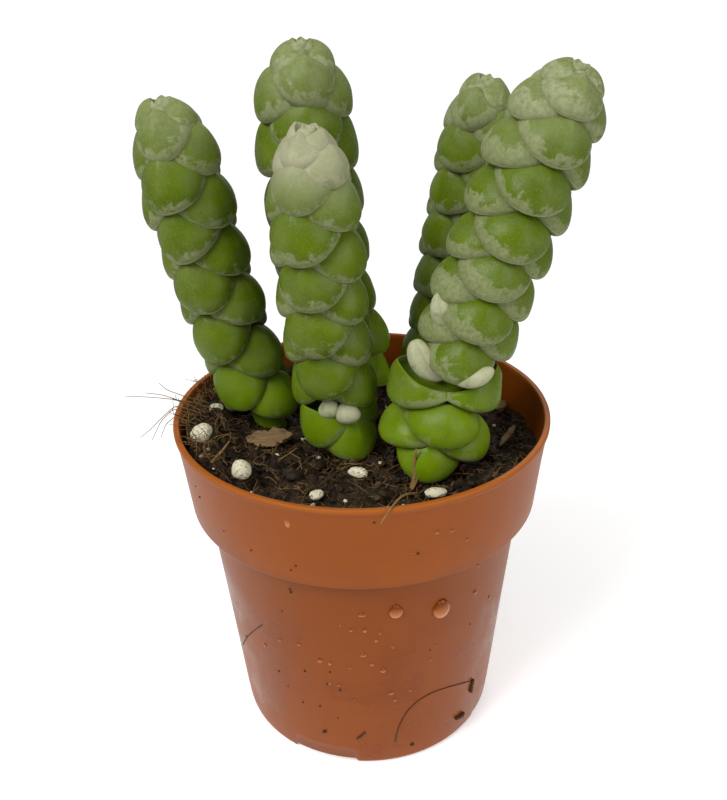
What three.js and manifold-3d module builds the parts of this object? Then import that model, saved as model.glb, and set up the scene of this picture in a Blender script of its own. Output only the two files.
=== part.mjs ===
// Potted moonglow crassula.
// Five columnar stems of stacked leaf pairs stand in soil in a round nursery pot.
// Millimetres, +Z up. The pot's axis is the Z axis and its base lies on z = 0.
// The photographed side faces -Y.

import * as THREE from 'three';
import { mergeVertices } from 'three/addons/utils/BufferGeometryUtils.js';
import Module from 'manifold-3d';

const wasm = await Module();
wasm.setup();

// Clearance between neighbouring pieces
const GAP = 0.3;

// Pot
const POT_HEIGHT = 80;
const RIM_RADIUS = 42.5;
const RIM_INNER_RADIUS = 41.2;
const LIP_DROP = 1.0;
const COLLAR_TOP_RADIUS = 42.1;
const COLLAR_BOTTOM_RADIUS = 40.1;
const COLLAR_BOTTOM_Z = 59.7;
const BODY_TOP_RADIUS = 36.8;
const BASE_RADIUS = 31.2;
const WALL = 1.3;
const FLOOR = 3.2;
const POT_SIDES = 56;

// Drain channels under the base, and the holes above them
const CHANNEL_COUNT = 4;
const CHANNEL_WIDTH = 15;
const CHANNEL_HEIGHT = 1.8;
const CHANNEL_START = 17;
const CHANNEL_ANGLE = -110;
const DRAIN_RADIUS = 2.5;
const DRAIN_REACH = 23.5;

// Soil surface
const SOIL_LEVEL = 72.6;
const SOIL_LEFT_RISE = 3.2;
const SOIL_RIGHT_FALL = 1.8;
const SOIL_DIP = 1.6;
const SOIL_DIP_WIDTH = 9;
const SOIL_SIDES = 40;
const SOIL_RINGS = 6;

// Leaf pairs
const LEAF_SIDES = 12;
const LOBE_OFFSET = 0.3;
const LEAF_RISE = 1.0;
const APEX_HEIGHT = 2.1;
const JOINT_HEIGHT = 1.38;
const LIP_INSET = 0.8;
const BELLY_HEIGHT = 0.38;
const TOP_INSET = 0.68;
const OPEN_INSET = 0.9;
const CORE_HEIGHT = 1.9;
const BOWL_HEIGHT = 0.9;
const TIP_SIZES = [0.33, 0.59, 0.79, 0.88, 0.96];
const TIP_INSETS = [0.15, 0.3, 0.45, 0.58];

// Neck that stands in the soil
const NECK_RADIUS = 3.5;
const NECK_DEPTH = 9;
const NECK_RISE = 30;

// Stems. foot and tip are points on the axis. pitch is the distance between leaf pairs.
// top is the distance from the foot up the axis to the uppermost pair.
// angle is the heading of the uppermost pair and twist is added at each pair below it.
// taper makes the upper pairs wider than the lower ones by this share.
// gaps and turns begin at the numbered pair and go on below it.
// lift, lean and scale move, tip and widen one pair. dip is how far the soil sinks round the foot.
// buds are small side shoots on the stem, at a height up the axis and a reach out from it.
const STEMS = [
  {
    name: 'stem_left',
    foot: [-22.5, 7.8, 74],
    tip: [-37.8, 0.6, 147.6],
    bow: [-1.5, 0],
    radius: 10.1,
    taper: 0.13,
    pitch: 5.92,
    top: 71.4,
    pairs: 14,
    angle: -98.1,
    twist: -1.92,
    gaps: { 11: 1.5 },
    lift: { 13: 0.4 },
    dip: 2.4,
  },
  {
    name: 'stem_front',
    foot: [-4.2, -4.8, 74],
    tip: [-8.3, -16.8, 142.6],
    bow: [-1.1, 0],
    radius: 9.8,
    taper: 0.07,
    pitch: 5.28,
    top: 68.7,
    pairs: 15,
    angle: -216.9,
    twist: 1.97,
    sizes: [0.44, 0.6, 0.76, 0.86, 0.95],
    gaps: { 13: 3.7 },
    turns: { 13: -42 },
    open: { 13: 0.97 },
    lift: { 14: 1.2 },
    scale: { 14: 0.96 },
    buds: [
      { height: 12.6, angle: -102, reach: 5.0, size: [2.2, 1.6, 2.1], roll: 20 },
      { height: 11.8, angle: -69, reach: 6.7, size: [2.4, 1.7, 2.2], roll: -15 },
    ],
  },
  {
    name: 'stem_right',
    foot: [14.2, -13.4, 74],
    tip: [38.5, -16.9, 152.4],
    bow: [-1.8, 0],
    radius: 10.4,
    taper: 0.105,
    pitch: 4.6,
    top: 81.9,
    pairs: 19,
    angle: -76.1,
    twist: -1.39,
    turns: { 15: 6, 17: -6 },
    gaps: { 15: 7.0 },
    open: { 15: 1.18 },
    lift: { 15: 2.2, 16: 0.6, 18: 0.8 },
    lean: { 15: -8 },
    scale: { 16: 1.17, 17: 1.18 },
    buds: [
      { height: 35.5, angle: -155, reach: 7.9, size: [2.3, 1.8, 4.0], roll: 35 },
      { height: 24.3, angle: -155, reach: 8.0, size: [2.4, 1.8, 5.0], roll: 45 },
      { height: 26, angle: -73, reach: 8.9, size: [2.0, 1.7, 4.0], roll: -60 },
    ],
  },
  {
    name: 'stem_back_left',
    foot: [-0.4, 18.8, 74],
    tip: [-10.1, 6.1, 156.1],
    bow: [-3.3, 0],
    radius: 10.9,
    taper: 0.05,
    pitch: 6.03,
    top: 80.6,
    pairs: 16,
    angle: -81.1,
    twist: 0,
    lift: { 15: 1.9 },
    scale: { 11: 0.97, 12: 0.94, 13: 1.03, 14: 0.88, 15: 0.84 },
  },
  {
    name: 'stem_back_right',
    foot: [16.8, 24.3, 74],
    tip: [26.9, 8.8, 149],
    bow: [1.0, 0],
    radius: 9.5,
    taper: 0,
    pitch: 5.28,
    top: 73.8,
    pairs: 17,
    angle: -134.2,
    twist: -0.9,
    lift: { 16: 1.6 },
    scale: { 12: 0.98, 13: 0.96, 14: 0.95, 15: 0.94, 16: 0.92 },
  },
];

// Loose pieces on the soil: place across the soil, size along X, Y and Z, heading
const GRAINS = [
  { name: 'perlite_1', at: [-34.2, 6.4], size: [3.4, 2.8, 2.2], turn: 20 },
  { name: 'perlite_2', at: [-35.6, -7.6], size: [5.2, 4.4, 4.0], turn: 60 },
  { name: 'perlite_3', at: [-25.6, -21.4], size: [4.2, 4.8, 4.4], turn: 10 },
  { name: 'perlite_4', at: [-9.6, -27.0], size: [3.0, 2.4, 1.8], turn: 40 },
  { name: 'perlite_5', at: [-1.0, -19.6], size: [4.4, 2.6, 2.2], turn: -15 },
  { name: 'perlite_6', at: [15.0, -27.6], size: [4.6, 2.8, 1.9], turn: 5 },
  { name: 'perlite_7', at: [11.0, -33.4], size: [3.2, 2.4, 1.8], turn: 25 },
  { name: 'perlite_8', at: [-18.6, 24.6], size: [3.0, 2.6, 2.2], turn: 75 },
];
const CHIPS = [
  { name: 'bark_flake', at: [-21.0, -5.6], size: [10.0, 4.6, 1.2], turn: 12, tilt: 12, lift: 1.1 },
  { name: 'bark_chip', at: [34.0, 13.0], size: [5.0, 2.6, 1.4], turn: 65, tilt: 0, lift: 0.4 },
  { name: 'wood_splinter', at: [33.4, -1.4], size: [10.5, 1.4, 1.2], turn: 62, tilt: 6, lift: 0.8 },
];

// Colours
const leafMaterial = new THREE.MeshStandardMaterial({ color: 0x66772c, roughness: 0.45, metalness: 0 });
const potMaterial = new THREE.MeshStandardMaterial({ color: 0x9b5830, roughness: 0.4, metalness: 0 });
const soilMaterial = new THREE.MeshStandardMaterial({ color: 0x33241a, roughness: 0.95, metalness: 0 });
const perliteMaterial = new THREE.MeshStandardMaterial({ color: 0xd8d3bf, roughness: 0.9, metalness: 0 });
const barkMaterial = new THREE.MeshStandardMaterial({ color: 0x6e4a2a, roughness: 0.85, metalness: 0 });

const radians = (degrees) => (degrees * Math.PI) / 180;

function clamp01(value) {
  return Math.min(1, Math.max(0, value));
}

function smooth(value) {
  const t = clamp01(value);
  return t * t * (3 - 2 * t);
}

// Solid from a closed geometry, and geometry from a solid
function toSolid(geometry) {
  geometry.deleteAttribute('normal');
  geometry.deleteAttribute('uv');
  const merged = mergeVertices(geometry, 1e-5);
  return new wasm.Manifold(new wasm.Mesh({
    numProp: 3,
    vertProperties: Float32Array.from(merged.attributes.position.array),
    triVerts: Uint32Array.from(merged.index.array),
  }));
}

function toGeometry(solid) {
  const mesh = solid.getMesh();
  const geometry = new THREE.BufferGeometry();
  geometry.setAttribute('position', new THREE.BufferAttribute(Float32Array.from(mesh.vertProperties), 3));
  geometry.setIndex(new THREE.BufferAttribute(Uint32Array.from(mesh.triVerts), 1));
  geometry.computeVertexNormals();
  return geometry;
}

// Closed skin over columns of points. Each column runs from the bottom centre to the top centre.
function skin(columns, bottom, top) {
  const sides = columns.length;
  const steps = columns[0].length;
  const points = [bottom, top];
  const index = [];
  columns.forEach((column) => points.push(...column));
  const at = (side, step) => 2 + (side % sides) * steps + step;
  for (let side = 0; side < sides; side += 1) {
    index.push(0, at(side + 1, 0), at(side, 0));
    for (let step = 0; step < steps - 1; step += 1) {
      index.push(at(side, step), at(side + 1, step), at(side + 1, step + 1));
      index.push(at(side, step), at(side + 1, step + 1), at(side, step + 1));
    }
    index.push(1, at(side, steps - 1), at(side + 1, steps - 1));
  }
  const geometry = new THREE.BufferGeometry();
  const flat = points.flatMap((point) => [point.x, point.y, point.z]);
  geometry.setAttribute('position', new THREE.Float32BufferAttribute(flat, 3));
  geometry.setIndex(index);
  return geometry;
}

// Pot
function wallRadius(z) {
  if (z < COLLAR_BOTTOM_Z + 0.9) {
    return BASE_RADIUS + (BODY_TOP_RADIUS - BASE_RADIUS) * (z / COLLAR_BOTTOM_Z) - WALL;
  }
  const share = (z - COLLAR_BOTTOM_Z) / (POT_HEIGHT - COLLAR_BOTTOM_Z);
  return COLLAR_BOTTOM_RADIUS - WALL + (RIM_INNER_RADIUS - COLLAR_BOTTOM_RADIUS + WALL) * share;
}

function makePot() {
  const stepZ = COLLAR_BOTTOM_Z;
  const profile = [
    [0, 0],
    [BASE_RADIUS - 1.4, 0],
    [BASE_RADIUS - 0.4, 0.5],
    [BASE_RADIUS, 1.6],
    [BODY_TOP_RADIUS, stepZ - 0.8],
    [COLLAR_BOTTOM_RADIUS - 0.5, stepZ - 0.3],
    [COLLAR_BOTTOM_RADIUS, stepZ + 0.4],
    [COLLAR_TOP_RADIUS, POT_HEIGHT - LIP_DROP - 0.4],
    [RIM_RADIUS, POT_HEIGHT - LIP_DROP],
    [RIM_RADIUS, POT_HEIGHT - 0.35],
    [RIM_RADIUS - 0.35, POT_HEIGHT],
    [RIM_INNER_RADIUS, POT_HEIGHT],
    [wallRadius(stepZ + 1.3), stepZ + 1.3],
    [wallRadius(stepZ + 0.6), stepZ + 0.6],
    [wallRadius(FLOOR), FLOOR],
    [0, FLOOR],
  ].map(([radius, z]) => new THREE.Vector2(radius, z));
  const lathe = new THREE.LatheGeometry(profile, POT_SIDES);
  lathe.rotateX(Math.PI / 2);
  let pot = toSolid(lathe);
  for (let i = 0; i < CHANNEL_COUNT; i += 1) {
    const heading = radians(CHANNEL_ANGLE + (360 / CHANNEL_COUNT) * i);
    const length = BASE_RADIUS + 5 - CHANNEL_START;
    const channel = new THREE.BoxGeometry(length, CHANNEL_WIDTH, CHANNEL_HEIGHT * 2);
    channel.translate(CHANNEL_START + length / 2, 0, 0);
    channel.rotateZ(heading);
    const drain = new THREE.CylinderGeometry(DRAIN_RADIUS, DRAIN_RADIUS, FLOOR * 3, 16);
    drain.rotateX(Math.PI / 2);
    drain.translate(Math.cos(heading) * DRAIN_REACH, Math.sin(heading) * DRAIN_REACH, FLOOR / 2);
    pot = pot.subtract(toSolid(channel)).subtract(toSolid(drain));
  }
  return toGeometry(pot);
}

// Stem axis
function stemAxis(stem, height) {
  const foot = new THREE.Vector3(...stem.foot);
  const tip = new THREE.Vector3(...stem.tip);
  const bow = new THREE.Vector3(stem.bow[0], stem.bow[1], 0);
  const run = tip.clone().sub(foot);
  const share = height / run.length();
  const point = foot.clone().addScaledVector(run, share).addScaledVector(bow, 4 * share * (1 - share));
  const direction = run.addScaledVector(bow, 4 * (1 - 2 * share)).normalize();
  return { point, direction };
}

function stemFrame(stem, height, degrees, lean = 0) {
  const { point, direction } = stemAxis(stem, height);
  direction.applyAxisAngle(new THREE.Vector3(0, 1, 0), radians(lean));
  const heading = radians(degrees);
  const x = new THREE.Vector3(Math.cos(heading), Math.sin(heading), 0);
  x.addScaledVector(direction, -x.dot(direction)).normalize();
  const y = direction.clone().cross(x);
  return new THREE.Matrix4().makeBasis(x, y, direction).setPosition(point);
}

// One pair of leaves joined round the stem.
// Each leaf's outline in plan is an arc, and its lower edge rises to the joint between the leaves.
function leafPair(radius, pitch, topInset, coreHeight) {
  const offset = LOBE_OFFSET * radius;
  const lobe = radius - offset;
  const jointAngle = Math.PI - Math.acos(offset / lobe);
  const columns = [];
  for (let i = 0; i < LEAF_SIDES; i += 1) {
    const angle = (i * 2 * Math.PI) / LEAF_SIDES;
    const across = ((angle + Math.PI / 2) % Math.PI) - Math.PI / 2;
    const side = offset * Math.sin(across);
    const outer = offset * Math.cos(across) + Math.sqrt(lobe * lobe - side * side);
    const lobeAngle = Math.atan2(outer * Math.sin(across), outer * Math.cos(across) - offset);
    const share = lobeAngle / jointAngle;
    const low = LEAF_RISE * pitch * (1 - Math.cos((share * Math.PI) / 2));
    const width = 1 - Math.abs(share) ** 1.4;
    const high = pitch * (JOINT_HEIGHT + (APEX_HEIGHT - JOINT_HEIGHT) * width);
    const tall = high - low;
    const profile = [
      [LIP_INSET * outer, low],
      [outer, low + BELLY_HEIGHT * tall],
      [topInset * outer, high],
    ];
    columns.push(profile.map(([r, z]) => new THREE.Vector3(r * Math.cos(angle), r * Math.sin(angle), z)));
  }
  const bottom = new THREE.Vector3(0, 0, 0.5 * pitch);
  const top = new THREE.Vector3(0, 0, coreHeight * pitch);
  return skin(columns, bottom, top);
}

function neckGeometry(stem, radius, depth, above) {
  const neck = new THREE.CylinderGeometry(radius, radius, depth + above, 12);
  neck.rotateX(Math.PI / 2);
  neck.translate(0, 0, (above - depth) / 2);
  neck.applyMatrix4(stemFrame(stem, 0, 0));
  return neck;
}

function makeStem(stem) {
  let height = stem.top;
  let turn = 0;
  let solid = null;
  for (let i = 0; i < stem.pairs; i += 1) {
    height -= stem.gaps?.[i] ?? 0;
    turn += stem.turns?.[i] ?? 0;
    const size = (stem.sizes ?? TIP_SIZES)[i] ?? 1;
    const opened = stem.open?.[i];
    const widen = 1 + stem.taper * (0.5 - i / stem.pairs);
    const radius = stem.radius * size * widen * (opened ?? stem.scale?.[i] ?? 1);
    const inset = opened ? OPEN_INSET : TIP_INSETS[i] ?? TOP_INSET;
    const pair = leafPair(radius, stem.pitch * size, inset, opened ? BOWL_HEIGHT : CORE_HEIGHT);
    const heading = stem.angle + (90 + stem.twist) * i + turn;
    pair.applyMatrix4(stemFrame(stem, height + (stem.lift?.[i] ?? 0), heading, stem.lean?.[i] ?? 0));
    solid = solid ? solid.add(toSolid(pair)) : toSolid(pair);
    height -= stem.pitch * size ** 0.9;
  }
  solid = solid.add(toSolid(neckGeometry(stem, NECK_RADIUS, NECK_DEPTH, NECK_RISE)));
  (stem.buds ?? []).forEach((bud) => {
    const shape = new THREE.SphereGeometry(1, 8, 6);
    shape.scale(bud.size[1], bud.size[0], bud.size[2]);
    shape.rotateX(radians(bud.roll));
    shape.translate(bud.reach, 0, 0);
    shape.applyMatrix4(stemFrame(stem, bud.height, bud.angle));
    solid = solid.add(toSolid(shape));
  });
  return toGeometry(solid);
}

// Soil
function soilHeight(x, y) {
  const rise = SOIL_LEFT_RISE * smooth((-x - 16) / 20);
  const fall = SOIL_RIGHT_FALL * smooth((x + 0.5 * y - 14) / 24);
  const waves = 0.35 * Math.sin(0.31 * x + 1.2) + 0.35 * Math.sin(0.27 * y - 0.21 * x);
  let height = SOIL_LEVEL + rise - fall + waves;
  STEMS.forEach((stem) => {
    const distance = Math.hypot(x - stem.foot[0], y - stem.foot[1]);
    height -= (stem.dip ?? SOIL_DIP) * Math.exp(-((distance / SOIL_DIP_WIDTH) ** 2));
  });
  return height;
}

function makeSoil() {
  const stepZ = COLLAR_BOTTOM_Z + 1.3;
  const columns = [];
  for (let i = 0; i < SOIL_SIDES; i += 1) {
    const angle = (i * 2 * Math.PI) / SOIL_SIDES;
    const place = (radius, z) => new THREE.Vector3(radius * Math.cos(angle), radius * Math.sin(angle), z);
    const column = [
      place(wallRadius(FLOOR) - GAP, FLOOR + GAP),
      place(wallRadius(stepZ - 0.7) - GAP, stepZ - 0.3),
      place(wallRadius(stepZ + 0.4) - GAP, stepZ + 0.4),
    ];
    const edge = wallRadius(SOIL_LEVEL) - 0.6;
    const edgeZ = soilHeight(edge * Math.cos(angle), edge * Math.sin(angle));
    const rim = wallRadius(edgeZ) - GAP - 0.15;
    for (let ring = 0; ring < SOIL_RINGS; ring += 1) {
      const radius = rim * (1 - ring / SOIL_RINGS);
      column.push(place(radius, soilHeight(radius * Math.cos(angle), radius * Math.sin(angle))));
    }
    columns.push(column);
  }
  const bottom = new THREE.Vector3(0, 0, FLOOR + GAP);
  const top = new THREE.Vector3(0, 0, soilHeight(0, 0));
  let soil = toSolid(skin(columns, bottom, top));
  STEMS.forEach((stem) => {
    soil = soil.subtract(toSolid(neckGeometry(stem, NECK_RADIUS + GAP, NECK_DEPTH + GAP, 12)));
  });
  return toGeometry(soil);
}

// Loose pieces
function makeGrain(grain, number) {
  const shape = new THREE.IcosahedronGeometry(1, 1);
  const merged = mergeVertices(new THREE.BufferGeometry().setAttribute('position', shape.attributes.position));
  const position = merged.attributes.position;
  for (let i = 0; i < position.count; i += 1) {
    const point = new THREE.Vector3().fromBufferAttribute(position, i);
    const lump = 1 + 0.09 * Math.sin(4.1 * point.x + number) + 0.08 * Math.sin(5.3 * point.y - 2 * number);
    position.setXYZ(i, point.x * lump, point.y * lump, point.z * lump);
  }
  merged.scale(grain.size[0] / 2, grain.size[1] / 2, grain.size[2] / 2);
  merged.rotateZ(radians(grain.turn));
  return merged;
}

function makeChip(chip) {
  const outline = new THREE.Shape();
  const [length, width, thick] = chip.size;
  outline.moveTo(-0.5 * length, -0.1 * width);
  outline.lineTo(-0.3 * length, -0.5 * width);
  outline.lineTo(0.2 * length, -0.42 * width);
  outline.lineTo(0.5 * length, -0.12 * width);
  outline.lineTo(0.4 * length, 0.32 * width);
  outline.lineTo(-0.1 * length, 0.5 * width);
  outline.lineTo(-0.4 * length, 0.3 * width);
  outline.closePath();
  const geometry = new THREE.ExtrudeGeometry(outline, { depth: thick, bevelEnabled: false });
  geometry.translate(0, 0, -thick / 2);
  geometry.rotateX(radians(chip.tilt));
  geometry.rotateZ(radians(chip.turn));
  return toGeometry(toSolid(geometry));
}

// Height that clears the soil under a piece
function restingHeight(geometry, [x, y]) {
  const position = geometry.attributes.position;
  let height = 0;
  for (let i = 0; i < position.count; i += 1) {
    const below = soilHeight(x + position.getX(i), y + position.getY(i));
    height = Math.max(height, below - position.getZ(i));
  }
  return height + 2 * GAP;
}

const group = new THREE.Group();

function addMesh(name, geometry, material) {
  const mesh = new THREE.Mesh(geometry, material);
  mesh.name = name;
  group.add(mesh);
  return mesh;
}

addMesh('pot', makePot(), potMaterial);
addMesh('soil', makeSoil(), soilMaterial);
STEMS.forEach((stem) => addMesh(stem.name, makeStem(stem), leafMaterial));
GRAINS.forEach((grain, number) => {
  const geometry = makeGrain(grain, number);
  const mesh = addMesh(grain.name, geometry, perliteMaterial);
  mesh.position.set(grain.at[0], grain.at[1], restingHeight(geometry, grain.at));
});
CHIPS.forEach((chip) => {
  const geometry = makeChip(chip);
  const mesh = addMesh(chip.name, geometry, barkMaterial);
  mesh.position.set(chip.at[0], chip.at[1], restingHeight(geometry, chip.at));
});

export default group;
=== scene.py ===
import math

import bmesh
import bpy
import numpy as np
from mathutils import Matrix, Quaternion, Vector


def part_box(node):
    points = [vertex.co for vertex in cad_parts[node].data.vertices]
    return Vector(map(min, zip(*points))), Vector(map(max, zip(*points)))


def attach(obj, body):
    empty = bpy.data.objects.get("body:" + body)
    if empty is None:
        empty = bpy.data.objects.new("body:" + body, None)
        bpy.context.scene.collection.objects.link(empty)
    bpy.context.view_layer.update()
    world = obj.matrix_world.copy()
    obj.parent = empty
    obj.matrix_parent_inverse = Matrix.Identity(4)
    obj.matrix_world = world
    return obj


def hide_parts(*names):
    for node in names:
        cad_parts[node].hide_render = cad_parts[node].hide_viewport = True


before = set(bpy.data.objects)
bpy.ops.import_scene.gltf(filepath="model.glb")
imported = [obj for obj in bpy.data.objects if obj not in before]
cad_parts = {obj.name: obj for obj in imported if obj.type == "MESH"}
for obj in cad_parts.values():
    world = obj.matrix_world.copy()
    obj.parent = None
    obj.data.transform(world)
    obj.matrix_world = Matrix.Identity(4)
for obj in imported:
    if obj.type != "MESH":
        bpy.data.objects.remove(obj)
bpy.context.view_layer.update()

# Potted moonglow crassula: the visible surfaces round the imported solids.
# Sizes are written in millimetres and turned into metres when a mesh is made.
MM = 0.001

# Camera, matched to the rim, base and stem tips in the photograph
CAMERA_ELEVATION = 27.487
CAMERA_ROLL = -1.298
CAMERA_DISTANCE = 212.95
CAMERA_TARGET = (0.487, 0.0, 81.45)
CAMERA_LENS = 42.06
CAMERA_CLIP = (0.01, 50)

# Pot
POT_HEIGHT = 80.0
RIM_RADIUS = 42.5
RIM_INSIDE = 41.2
LIP_DROP = 1.0
COLLAR_RADIUS = 42.1
COLLAR_LOW_RADIUS = 40.1
COLLAR_Z = 59.7
BODY_RADIUS = 36.8
BASE_RADIUS = 31.2
WALL = 1.3
FLOOR = 3.2
DRAIN_COUNT = 4
DRAIN_WIDTH = 15.0
DRAIN_HEIGHT = 1.8
DRAIN_START = 17.0
DRAIN_ANGLE = -110.0
DRAIN_RADIUS = 2.5
DRAIN_REACH = 23.5
POT_SIDES = 288
WAVE_SIZE = 26
WAVE_DEPTH = 0.35
WAVE_START = 30

# Soil
SOIL_LEVEL = 72.6
SOIL_LEFT_RISE = 3.2
SOIL_RIGHT_FALL = 1.8
SOIL_DIP = 1.6
SOIL_DIP_WIDTH = 9.0
SOIL_SIDES = 300
SOIL_RINGS = 110
SOIL_REACH = 39.6

# Smallest size, largest size, number and fineness of the crumbs
CRUMBS = ((0.25, 0.7, 2600, 1), (0.6, 1.6, 800, 2), (1.5, 3.6, 100, 3))
PERLITE_CRUMBS = 46
FIBRES = 1700
FIBRE_LIFT = 0.3
CLUMP_FIBRES = 470
CLUMP_HEADINGS = (150, 205)
CLUMP_SPREAD = 3.6
GRAIN_CLEARANCE = 2.9
HAIR_THICKNESS = 0.13

# Leaf pairs
LOBE_OFFSET = 0.3
LEAF_RISE = 1.0
LEAF_POINT = 1.15
APEX_HEIGHT = 2.1
JOINT_HEIGHT = 1.38
BELLY = 0.34
CHEEK_ANGLE = 50
CHEEK_FLATNESS = 0.4
LOW_ROUNDNESS = 2.7
TOP_ROUNDNESS = 1.8
INNER_ROUNDNESS = 2.4
LIP_INSET = 0.74
LIP_ROW = 4
TOP_INSET = 0.64
OPEN_INSET = 0.85
OPEN_DEPTH = 0.9
TIP_SIZES = [0.33, 0.59, 0.79, 0.88, 0.96]
TIP_INSETS = [0.15, 0.3, 0.45, 0.58]
CROWN_SIZES = [0.17, 0.27]
CROWN_INSET = 0.6
CROWN_RAISE = 0.12
CROWN_DEPTH = 1.35
PAIR_GRID = (96, 22)
CROWN_GRID = (48, 16)
PAIR_TURN = 90
PITCH_POWER = 0.9
LEAF_BULGE = 0.45
NECK_RADIUS = 3.4
NECK_SPAN = (-8.7, 26)
STEM_START = 72.0

# Stems, with the same numbers as the solids. pale_side is how much bloom the left side carries.
STEMS = [
    dict(
        name="stem_left", foot=(-22.5, 7.8, 74), tip=(-37.8, 0.6, 147.6), bow=(-1.5, 0),
        radius=10.1, taper=0.13, pitch=5.92, top=71.4, pairs=14, angle=-98.1, twist=-1.92,
        gaps={11: 1.5}, lift={13: 0.4}, dip=2.4, pale_side=-0.2),
    dict(
        name="stem_front", foot=(-4.2, -4.8, 74), tip=(-8.3, -16.8, 142.6), bow=(-1.1, 0),
        radius=9.8, taper=0.07, pitch=5.28, top=68.7, pairs=15, angle=-216.9, twist=1.97,
        sizes=[0.44, 0.6, 0.76, 0.86, 0.95], gaps={13: 3.7}, turns={13: -42}, opened={13: 0.97},
        lift={14: 1.2}, scale={14: 0.96}, pale_side=0.1, frost=0.75),
    dict(
        name="stem_right", foot=(14.2, -13.4, 74), tip=(38.5, -16.9, 152.4), bow=(-1.8, 0),
        radius=10.4, taper=0.105, pitch=4.6, top=81.9, pairs=19, angle=-76.1, twist=-1.39,
        turns={15: 6, 17: -6}, gaps={15: 7.0}, opened={15: 1.18}, lift={15: 2.2, 16: 0.6, 18: 0.8},
        lean={15: -8}, scale={16: 1.17, 17: 1.18}, pale_side=0.9),
    dict(
        name="stem_back_left", foot=(-0.4, 18.8, 74), tip=(-10.1, 6.1, 156.1), bow=(-3.3, 0),
        radius=10.9, taper=0.05, pitch=6.03, top=80.6, pairs=16, angle=-81.1, twist=0,
        lift={15: 1.9}, scale={11: 0.97, 12: 0.94, 13: 1.03, 14: 0.88, 15: 0.84}, pale_side=0.0),
    dict(
        name="stem_back_right", foot=(16.8, 24.3, 74), tip=(26.9, 8.8, 149), bow=(1.0, 0),
        radius=9.5, taper=0, pitch=5.28, top=73.8, pairs=17, angle=-134.2, twist=-0.9,
        lift={16: 1.6}, scale={12: 0.98, 13: 0.96, 14: 0.95, 15: 0.94, 16: 0.92}, pale_side=0.2),
]

# Side buds: stem, height, heading and reach of the middle, heading it faces, half sizes, roll and fold
BUDS = [
    ("stem_front", 13.2, -103, 5.8, -92, (2.4, 1.9, 2.5), 20, 0.0),
    ("stem_front", 12.3, -69, 7.4, -88, (2.7, 2.0, 2.5), -15, 0.0),
    ("stem_right", 36.2, -150, 8.4, -95, (2.3, 1.8, 4.1), 38, 0.3),
    ("stem_right", 24.8, -150, 8.7, -98, (2.9, 1.8, 5.4), 50, 0.4),
    ("stem_right", 26.0, -73, 9.1, -84, (1.9, 1.7, 4.2), -58, 0.0),
]

# Outside of the pot: heading in degrees and height, then width and height of a drop or thickness of a twig
DROPS = [
    (-63.1, 47.3, 4.5, 5.5), (-79.9, 49.7, 3.2, 4.0), (-91.4, 37.2, 1.8, 1.1), (-115.4, 37.7, 1.1, 0.9),
    (-101, 27.1, 0.9, 0.7), (-90.5, 44.8, 1.1, 1.4), (-47.5, 46.9, 1.1, 1.4), (-36.8, 41.1, 0.7, 1.4),
    (-69.8, 72.2, 1.1, 1.1), (-65.1, 71.6, 0.9, 1.1), (-59.7, 67.8, 0.9, 0.7), (-84.2, 32.1, 1.6, 1.4),
    (-88.3, 34.3, 1.1, 1.1), (-81.1, 24.3, 1.4, 1.1), (-79.5, 21.8, 1.1, 0.9), (-73.5, 24.1, 0.9, 0.7),
    (-95.3, 44.8, 0.9, 1.1), (-86.7, 41.7, 0.9, 1.4), (-80.7, 39, 0.9, 0.7), (-91.4, 49.3, 2.0, 1.1),
    (-76.8, 68, 0.9, 0.5), (-132.9, 32, 0.9, 1.4), (-123.9, 36.7, 1.1, 0.7), (-65.9, 32.1, 1.4, 0.5),
    (-107.5, 34.3, 1.4, 1.4), (-103.8, 33.9, 0.9, 1.4), (-47.9, 54.8, 0.7, 1.1), (-85.3, 43.7, 0.9, 0.7),
    (-99, 46.1, 0.7, 0.7), (-104.5, 27.4, 0.7, 0.9), (-95.1, 22.6, 0.7, 0.5), (-68.8, 18, 0.7, 0.5),
    (-63.4, 36.2, 0.6, 0.5), (-96.4, 33, 0.9, 0.7),
]
TRICKLE = (-110.9, 75.6, 1.6, 3.4)
TRICKLE_DEPTH = 0.14
TWIGS = [
    ([(-40.5, 12.4), (-40.2, 14.2), (-40.1, 16.2)], 0.45), ([(-49, 6.8), (-46.4, 6.2), (-43.6, 6.5)], 0.5),
    ([(-91.6, 11.4), (-93, 10.3), (-94.8, 9.2)], 0.26), ([(-71.9, 4.6), (-70.6, 5.0)], 0.3),
    ([(-109.2, 10.0), (-108.0, 10.5)], 0.26),
]
WALL_HAIRS = [
    [(-79, 7), (-77.9, 11.9), (-74.8, 16.9), (-69.8, 20), (-63.7, 21), (-56.4, 20.3), (-47.5, 18.2),
     (-41.7, 16.3)],
    [(-155.6, 22), (-145.2, 29.8), (-136.9, 35.5), (-132.4, 38.4)],
]
SPECKS = [
    (-148.5, 73.1), (-147.2, 70.8), (-135.8, 66.2), (-124.8, 64.8), (-111.6, 62.8), (-116, 54),
    (-115.7, 53.2), (-120.7, 46.4), (-127.3, 25.6), (-114.4, 29.4), (-104.1, 31), (-123.7, 21.8),
    (-105.7, 26.9), (-100.7, 25.5), (-117.3, 18.3), (-109.6, 18.8), (-102.4, 15.8), (-75.1, 67.7),
    (-109.9, 64.2), (-87.3, 76.9), (-147.4, 28.8), (-47.8, 37.4), (-66.2, 35.4),
]

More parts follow.
